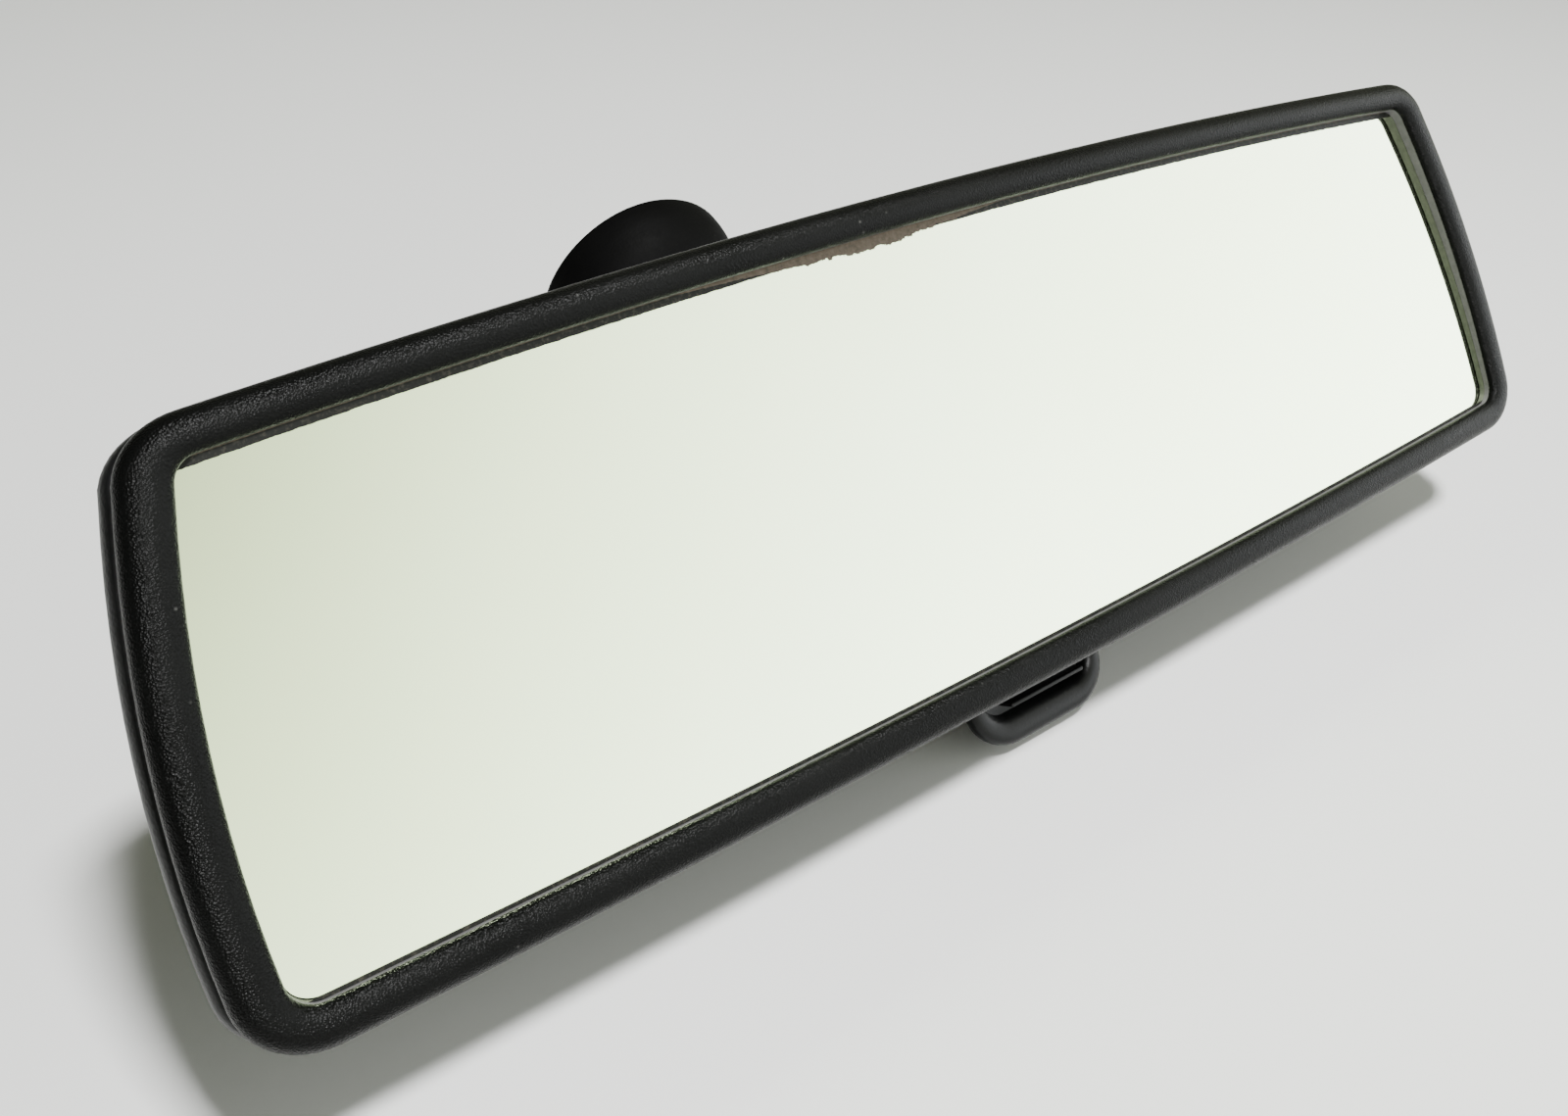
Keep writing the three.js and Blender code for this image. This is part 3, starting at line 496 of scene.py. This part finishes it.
# ---- materials; their lengths are in metres ----
class Look:
    """A small builder for node materials."""

    def __init__(self, name):
        self.m = bpy.data.materials.new(name)
        self.m.use_nodes = True
        self.tree = self.m.node_tree
        self.tree.nodes.clear()
        self.bsdf = self.add("ShaderNodeBsdfPrincipled")
        self.link(self.bsdf.outputs[0], self.add("ShaderNodeOutputMaterial").inputs["Surface"])
        self.at = self.add("ShaderNodeTexCoord").outputs["Object"]

    def add(self, kind, **values):
        node = self.tree.nodes.new(kind)
        for key, value in values.items():
            setattr(node, key, value)
        return node

    def link(self, a, b):
        self.tree.links.new(a, b)

    def feed(self, socket, value):
        """Links a socket to value, or sets it to a number or a colour."""
        if hasattr(value, "is_linked"):
            self.link(value, socket)
        elif socket.type == "RGBA":
            socket.default_value = (*value, 1)
        else:
            socket.default_value = value

    def noise(self, scale, detail=2.0, rough=0.5, at=None):
        n = self.add("ShaderNodeTexNoise")
        n.inputs["Scale"].default_value = scale
        n.inputs["Detail"].default_value = detail
        n.inputs["Roughness"].default_value = rough
        self.link(at or self.at, n.inputs["Vector"])
        return n.outputs["Fac"]

    def cells(self, scale):
        n = self.add("ShaderNodeTexVoronoi", feature="F1")
        n.inputs["Scale"].default_value = scale
        self.link(self.at, n.inputs["Vector"])
        return n.outputs["Distance"]

    def math(self, operation, *values):
        n = self.add("ShaderNodeMath", operation=operation)
        for socket, value in zip(n.inputs, values):
            self.feed(socket, value)
        return n.outputs[0]

    def span(self, value, a, b, low, high):
        """Maps a to low and b to high, and stops there."""
        n = self.add("ShaderNodeMapRange")
        n.clamp = True
        self.link(value, n.inputs["Value"])
        for key, v in (("From Min", a), ("From Max", b), ("To Min", low), ("To Max", high)):
            n.inputs[key].default_value = v
        return n.outputs["Result"]

    def speckle(self, value, low, high):
        """A noise's middle range as low to high."""
        return self.span(value, 0.3, 0.7, low, high)

    def ramp(self, value, *stops):
        n = self.add("ShaderNodeValToRGB")
        ramp = n.color_ramp
        while len(ramp.elements) < len(stops):
            ramp.elements.new(0.5)
        for e, (position, colour) in zip(ramp.elements, stops):
            e.position = position
            e.color = (*colour, 1)
        self.link(value, n.inputs["Fac"])
        return n.outputs["Color"]

    def tones(self, value, dark, light):
        """A noise's middle range as two colours."""
        return self.ramp(value, (0.3, dark), (0.7, light))

    def mix(self, fac, a, b):
        n = self.add("ShaderNodeMix", data_type="RGBA")
        self.link(fac, n.inputs["Factor"])
        self.feed(n.inputs["A"], a)
        self.feed(n.inputs["B"], b)
        return n.outputs["Result"]

    def bump(self, height, strength, distance, normal=None):
        n = self.add("ShaderNodeBump")
        n.inputs["Strength"].default_value = strength
        n.inputs["Distance"].default_value = distance
        self.link(height, n.inputs["Height"])
        if normal:
            self.link(normal, n.inputs["Normal"])
        return n.outputs["Normal"]

    def set(self, **values):
        for key, value in values.items():
            self.feed(self.bsdf.inputs[key.replace("_", " ")], value)


PLASTIC_IOR = 1.49
DUST_TONE = (0.42, 0.42, 0.4)


def plastic(name, dark, light, rough, grain, grain_depth, dust=0.0, shine=0.12):
    """Moulded plastic: fine texture from the tool, slow gloss changes and a little dust."""
    k = Look(name)
    slow = k.noise(55, 3)
    fine = k.noise(900, 2)
    colour = k.tones(slow, dark, light)
    if dust:
        speck = k.span(k.cells(420), 0.0, 0.11, 1.0, 0.0)
        patch = k.span(k.noise(70, 2), 0.55, 0.7, 0.0, dust)
        colour = k.mix(k.math("MULTIPLY", speck, patch), colour, DUST_TONE)
    gloss = k.math("ADD", k.speckle(slow, rough - 0.05, rough + 0.05), k.speckle(fine, -0.03, 0.03))
    coarse = k.bump(k.cells(grain), grain_depth, 0.00007)
    normal = k.bump(k.noise(grain * 2.3, 3, 0.6), grain_depth * 0.6, 0.00003, coarse)
    k.set(Base_Color=colour, Roughness=gloss, Normal=normal)
    k.set(IOR=PLASTIC_IOR, Specular_IOR_Level=shine)
    return k.m


def metal(name, dark, light, rough, stretch):
    """Drawn or plated metal; stretch is how much denser its fine lines lie along each axis."""
    k = Look(name)
    mapping = k.add("ShaderNodeMapping")
    mapping.inputs["Scale"].default_value = stretch
    k.link(k.at, mapping.inputs["Vector"])
    lines = k.noise(1500, 3, at=mapping.outputs[0])
    slow = k.noise(140, 3)
    k.set(Base_Color=k.tones(slow, dark, light), Metallic=1.0,
          Roughness=k.speckle(lines, rough - 0.08, rough + 0.1),
          Normal=k.bump(lines, 0.15, 0.00004))
    return k.m


def casting(name, dark, light):
    """A die-cast skin, duller than bare metal."""
    k = Look(name)
    skin = k.noise(700, 4, 0.65)
    slow = k.noise(90, 3)
    k.set(Base_Color=k.tones(slow, dark, light), Metallic=0.55,
          Roughness=k.speckle(skin, 0.42, 0.62), Normal=k.bump(skin, 0.35, 0.0002))
    return k.m


# x in metres where the tarnish starts, is full, begins to fade and ends
TARNISH = (-0.048, -0.018, -0.012, 0.010)
TARNISH_WIDTH = 0.0011  # least width of the tarnish, and the most that its ragged edge adds
SILVER_DARK, SILVER_LIGHT = (0.77, 0.89, 0.6), (0.8, 0.92, 0.65)


def silvered():
    """An almost even mirror, with faint smears, dust and a tarnished stretch of the upper edge."""
    k = Look("silvered_glass")
    parts = k.add("ShaderNodeSeparateXYZ")
    k.link(k.at, parts.inputs[0])
    x, y = parts.outputs["X"], parts.outputs["Y"]

    def curve(rise):
        return k.math("MULTIPLY", k.math("MULTIPLY", x, x), rise / MM)

    edge = k.math("SUBTRACT", k.math("SUBTRACT", HALF_HEIGHT * MM, y), curve(TOP_RISE))
    start, full, fade, end = TARNISH
    reach = k.math("MULTIPLY", k.span(x, start, full, 0.0, 1.0), k.span(x, fade, end, 1.0, 0.0))
    jag = k.math("ADD", k.speckle(k.noise(230, 6, 0.75), 0.0, TARNISH_WIDTH), TARNISH_WIDTH)
    patch = k.math("LESS_THAN", edge, k.math("MULTIPLY", reach, jag))
    ragged = k.span(k.noise(420, 4, 0.8), 0.35, 0.75, 0.0, 0.00015)
    low_edge = k.math("SUBTRACT", k.math("ADD", y, HALF_HEIGHT * MM), curve(BOTTOM_RISE))
    border = k.math("MAXIMUM", k.math("LESS_THAN", edge, k.math("ADD", ragged, 0.0009)),
                    k.math("LESS_THAN", low_edge, k.math("ADD", ragged, 0.0003)))
    speck = k.span(k.cells(210), 0.0, 0.035, 1.0, 0.0)
    dust = k.math("MULTIPLY", speck, k.span(k.noise(40, 2), 0.6, 0.68, 0.0, 0.5))
    worn = k.math("MAXIMUM", k.math("MAXIMUM", patch, border), dust)
    clean = k.tones(k.noise(14, 2), SILVER_DARK, SILVER_LIGHT)
    flecks = k.noise(1300, 3, 0.7)
    olive = k.ramp(flecks, (0.5, (0.008, 0.009, 0.007)), (0.8, (0.07, 0.066, 0.05)))
    brown = k.tones(flecks, (0.075, 0.062, 0.045), (0.15, 0.12, 0.09))
    smears = k.span(k.noise(30, 4), 0.4, 0.8, 0.0, 0.03)
    k.set(Base_Color=k.mix(worn, clean, k.mix(patch, olive, brown)),
          Metallic=k.span(worn, 0, 1, 1.0, 0.1),
          Roughness=k.math("ADD", k.span(worn, 0, 1, 0.02, 0.5), smears))
    k.set(Specular_IOR_Level=0.15)
    return k.m


def painted_lit_lip():
    """The bezel's inner step: painted light, a grey standing in for the black plastic lit by the mirror
    beside it, with fine grit in its corner.
    """
    k = Look("painted_lit_lip")
    grit = k.noise(900, 3, 0.7)
    # painted light: this grey is the mirror's light on the black wall, not the wall's own colour
    k.set(Base_Color=k.ramp(grit, (0.35, (0.075, 0.069, 0.08)), (0.7, (0.1, 0.093, 0.106))),
          Roughness=0.5, Normal=k.bump(grit, 0.25, 0.00005))
    k.set(Specular_IOR_Level=0.2)
    return k.m


def foam(name, dark, light):
    """Open pores, without gloss."""
    k = Look(name)
    pores = k.cells(600)
    k.set(Base_Color=k.tones(k.noise(90, 3), dark, light), Roughness=0.92,
          Normal=k.bump(pores, 0.6, 0.0003))
    return k.m


# dark and light tone, roughness, grain's scale and depth; then dust, and shine where it isn't usual
BEZEL_LOOK = plastic("bezel_plastic", (0.0018, 0.0019, 0.0018), (0.0032, 0.0034, 0.0032),
                     0.3, 3600, 1.0, 0.3, 0.055)
HOUSING_LOOK = plastic("housing_plastic", (0.005, 0.0052, 0.0053), (0.008, 0.0082, 0.0084),
                       0.36, 1900, 0.4, 0.15)
LEVER_LOOK = plastic("lever_plastic", (0.004, 0.0042, 0.0043), (0.007, 0.0073, 0.0075),
                     0.34, 2200, 0.25, 0.2)
DOME_LOOK = plastic("dome_plastic", (0.0018, 0.0018, 0.0018), (0.003, 0.003, 0.003),
                    0.6, 1900, 0.3, 0.1, 0.03)
SEAT_LOOK = plastic("seat_plastic", (0.6, 0.58, 0.52), (0.68, 0.66, 0.6), 0.45, 1500, 0.12)
FILM_LOOK = plastic("backing_film", (0.2, 0.07, 0.035), (0.27, 0.1, 0.05), 0.6, 900, 0.2)
ARM_LOOK = plastic("arm_paint", (0.01, 0.0102, 0.0105), (0.014, 0.0143, 0.0146),
                   0.34, 1400, 0.3, 0.1)
STEEL_LOOK = metal("plated_steel", (0.5, 0.51, 0.5), (0.66, 0.67, 0.66), 0.3, (1, 1, 6))
SPRING_LOOK = metal("spring_steel", (0.38, 0.37, 0.34), (0.5, 0.49, 0.46), 0.34, (6, 1, 1))
CAST_LOOK = casting("zinc_casting", (0.11, 0.112, 0.115), (0.17, 0.173, 0.178))
FOAM_LOOK = foam("foam", (0.03, 0.03, 0.032), (0.05, 0.05, 0.053))
GLASS_LOOK = silvered()
LIP_LOOK = painted_lit_lip()


def dress(obj, look):
    obj.data.materials.clear()
    obj.data.materials.append(look)


def piece(obj, body, look, slot, *replaced):
    """Dresses an object and makes it ride; its place moves into its mesh, so that its box is tight."""
    dress(obj, look)
    if look is not GLASS_LOOK:  # the silvering is laid out in the head's own frame
        obj.data.transform(obj.matrix_world)
        obj.matrix_world = Matrix.Identity(4)
    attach(obj, body)
    if replaced:
        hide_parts(*replaced)


piece(make_bezel(), "head", BEZEL_LOOK, "bezel_plastic", "front_bezel")
piece(make_housing(), "head", HOUSING_LOOK, "housing_plastic", "rear_housing")
piece(make_lugs(), "head", HOUSING_LOOK, "housing_plastic")
piece(make_glass(), "head", GLASS_LOOK, "silvered_glass", "mirror_glass")
piece(make_lip_wall(), "head", LIP_LOOK, "bezel_plastic")
piece(make_lever(), "lever", LEVER_LOOK, "lever_plastic", "toggle_lever")
piece(make_cover(), "foot", DOME_LOOK, "housing_plastic", "foot_cover")
piece(make_base(), "foot", CAST_LOOK, "cast_bracket", "foot_base")
piece(make_arm(), "foot", ARM_LOOK, "arm_paint", "support_arm")
piece(make_ball(), "foot", STEEL_LOOK, "steel", "ball_stud")

for look, *nodes in (
    (FILM_LOOK, "shatter_film"),
    (FOAM_LOOK, "foam_pad_left", "foam_pad_right"),
    (CAST_LOOK, "pivot_bracket", "socket_cap"),
    (SEAT_LOOK, "ball_seat_front", "ball_seat_rear"),
    (SPRING_LOOK, "seat_spring", "detent_spring", "bayonet_spring"),
    (STEEL_LOOK, "pivot_pin", "lever_pin", "socket_screw_left", "socket_screw_right",
     "detent_rivet", "bayonet_rivet", "arm_cross_pin"),
):
    for node in nodes:
        dress(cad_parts[node], look)

# ---- floor ----
FLOOR_Z = -0.0255  # 1.4 mm under the lever, the lowest piece at rest
FLOOR_REACH = 6
corners = [(x * FLOOR_REACH, y * FLOOR_REACH, FLOOR_Z)
           for x, y in ((-1, -1), (1, -1), (1, 1), (-1, 1))]
floor_mesh = bpy.data.meshes.new("floor")
floor_mesh.from_pydata(corners, [], [(0, 1, 2, 3)])
floor = bpy.data.objects.new("floor", floor_mesh)
scene.collection.objects.link(floor)
ground = Look("floor_white")
ground.set(Base_Color=ground.tones(ground.noise(3, 2), (0.86, 0.865, 0.85), (0.89, 0.893, 0.88)),
           Roughness=0.55)
dress(floor, ground.m)


# ---- light ----
class Sky(Look):
    """A world shader, with the direction of view as its coordinate."""

    def __init__(self):
        self.m = bpy.data.worlds.new("studio")
        self.m.use_nodes = True
        self.tree = self.m.node_tree
        self.tree.nodes.clear()
        self.shade = self.add("ShaderNodeBackground")
        self.link(self.shade.outputs[0], self.add("ShaderNodeOutputWorld").inputs["Surface"])
        self.at = self.add("ShaderNodeTexCoord").outputs["Generated"]


GLOW_AXIS = (0.6, 0, -0.8)  # the glow in the mirror grows along this direction
GLOW_LEVEL = 7.4
GLOW_EDGE, GLOW_FULL = (0.94, 1.0, 0.7), (0.97, 1.0, 1.0)
ROOM_LEFT, ROOM_RIGHT = 0.06, 0.34  # levels of the room to the left and to the right
MATT_SHARE = 0.35  # how much of the room matt surfaces get
BACKDROP_LEVEL = 0.9

studio = Sky()
scene.world = studio.m
aim = studio.add("ShaderNodeVectorMath", operation="DOT_PRODUCT")
aim.inputs[1].default_value = GLOW_AXIS
studio.link(studio.at, aim.inputs[0])
axes = studio.add("ShaderNodeSeparateXYZ")
studio.link(studio.at, axes.inputs[0])
front = studio.span(axes.outputs["Y"], 0.15, -0.35, 0.0, 1.0)
glow = studio.math("MULTIPLY", studio.span(aim.outputs["Value"], -0.62, 0.45, 0.0, 1.0), front)
tone = studio.mix(studio.span(glow, 0.0, 0.6, 0.0, 1.0), GLOW_EDGE, GLOW_FULL)
studio.link(tone, studio.shade.inputs["Color"])
room = studio.span(axes.outputs["X"], -0.6, 0.5, ROOM_LEFT, ROOM_RIGHT)
level = studio.math("ADD", studio.math("MULTIPLY", front, room),
                    studio.math("MULTIPLY", glow, GLOW_LEVEL))
level = studio.math("ADD", level, room)
rays = studio.add("ShaderNodeLightPath")
share = studio.span(rays.outputs["Is Diffuse Ray"], 0.0, 1.0, 1.0, MATT_SHARE)
level = studio.math("MULTIPLY", level, share)
seen = rays.outputs["Is Camera Ray"]  # behind the floor's edge the room is one pale tone
level = studio.math("MULTIPLY", level, studio.math("SUBTRACT", 1.0, seen))
studio.link(studio.math("MULTIPLY_ADD", seen, BACKDROP_LEVEL, level), studio.shade.inputs["Strength"])


def softbox(name, place, aim, width, height, power):
    """A rectangular lamp at place, turned towards aim; metres and watts."""
    data = bpy.data.lights.new(name, "AREA")
    data.shape = "RECTANGLE"
    data.size = width
    data.size_y = height
    data.energy = power
    lamp = bpy.data.objects.new(name, data)
    lamp.location = place
    lamp.rotation_euler = (Vector(place) - Vector(aim)).to_track_quat("Z", "Y").to_euler()
    scene.collection.objects.link(lamp)
    return lamp


softbox("key", (0.075, -0.31, 0.82), (0, -0.1, 0), 0.15, 0.11, 15.4)
edge_light = softbox("edge", (-0.48, -1.0, 0.8), (-0.12, -0.1, 0.03), 0.07, 0.1, 26)
edge_light.visible_diffuse = False  # it shines on gloss only
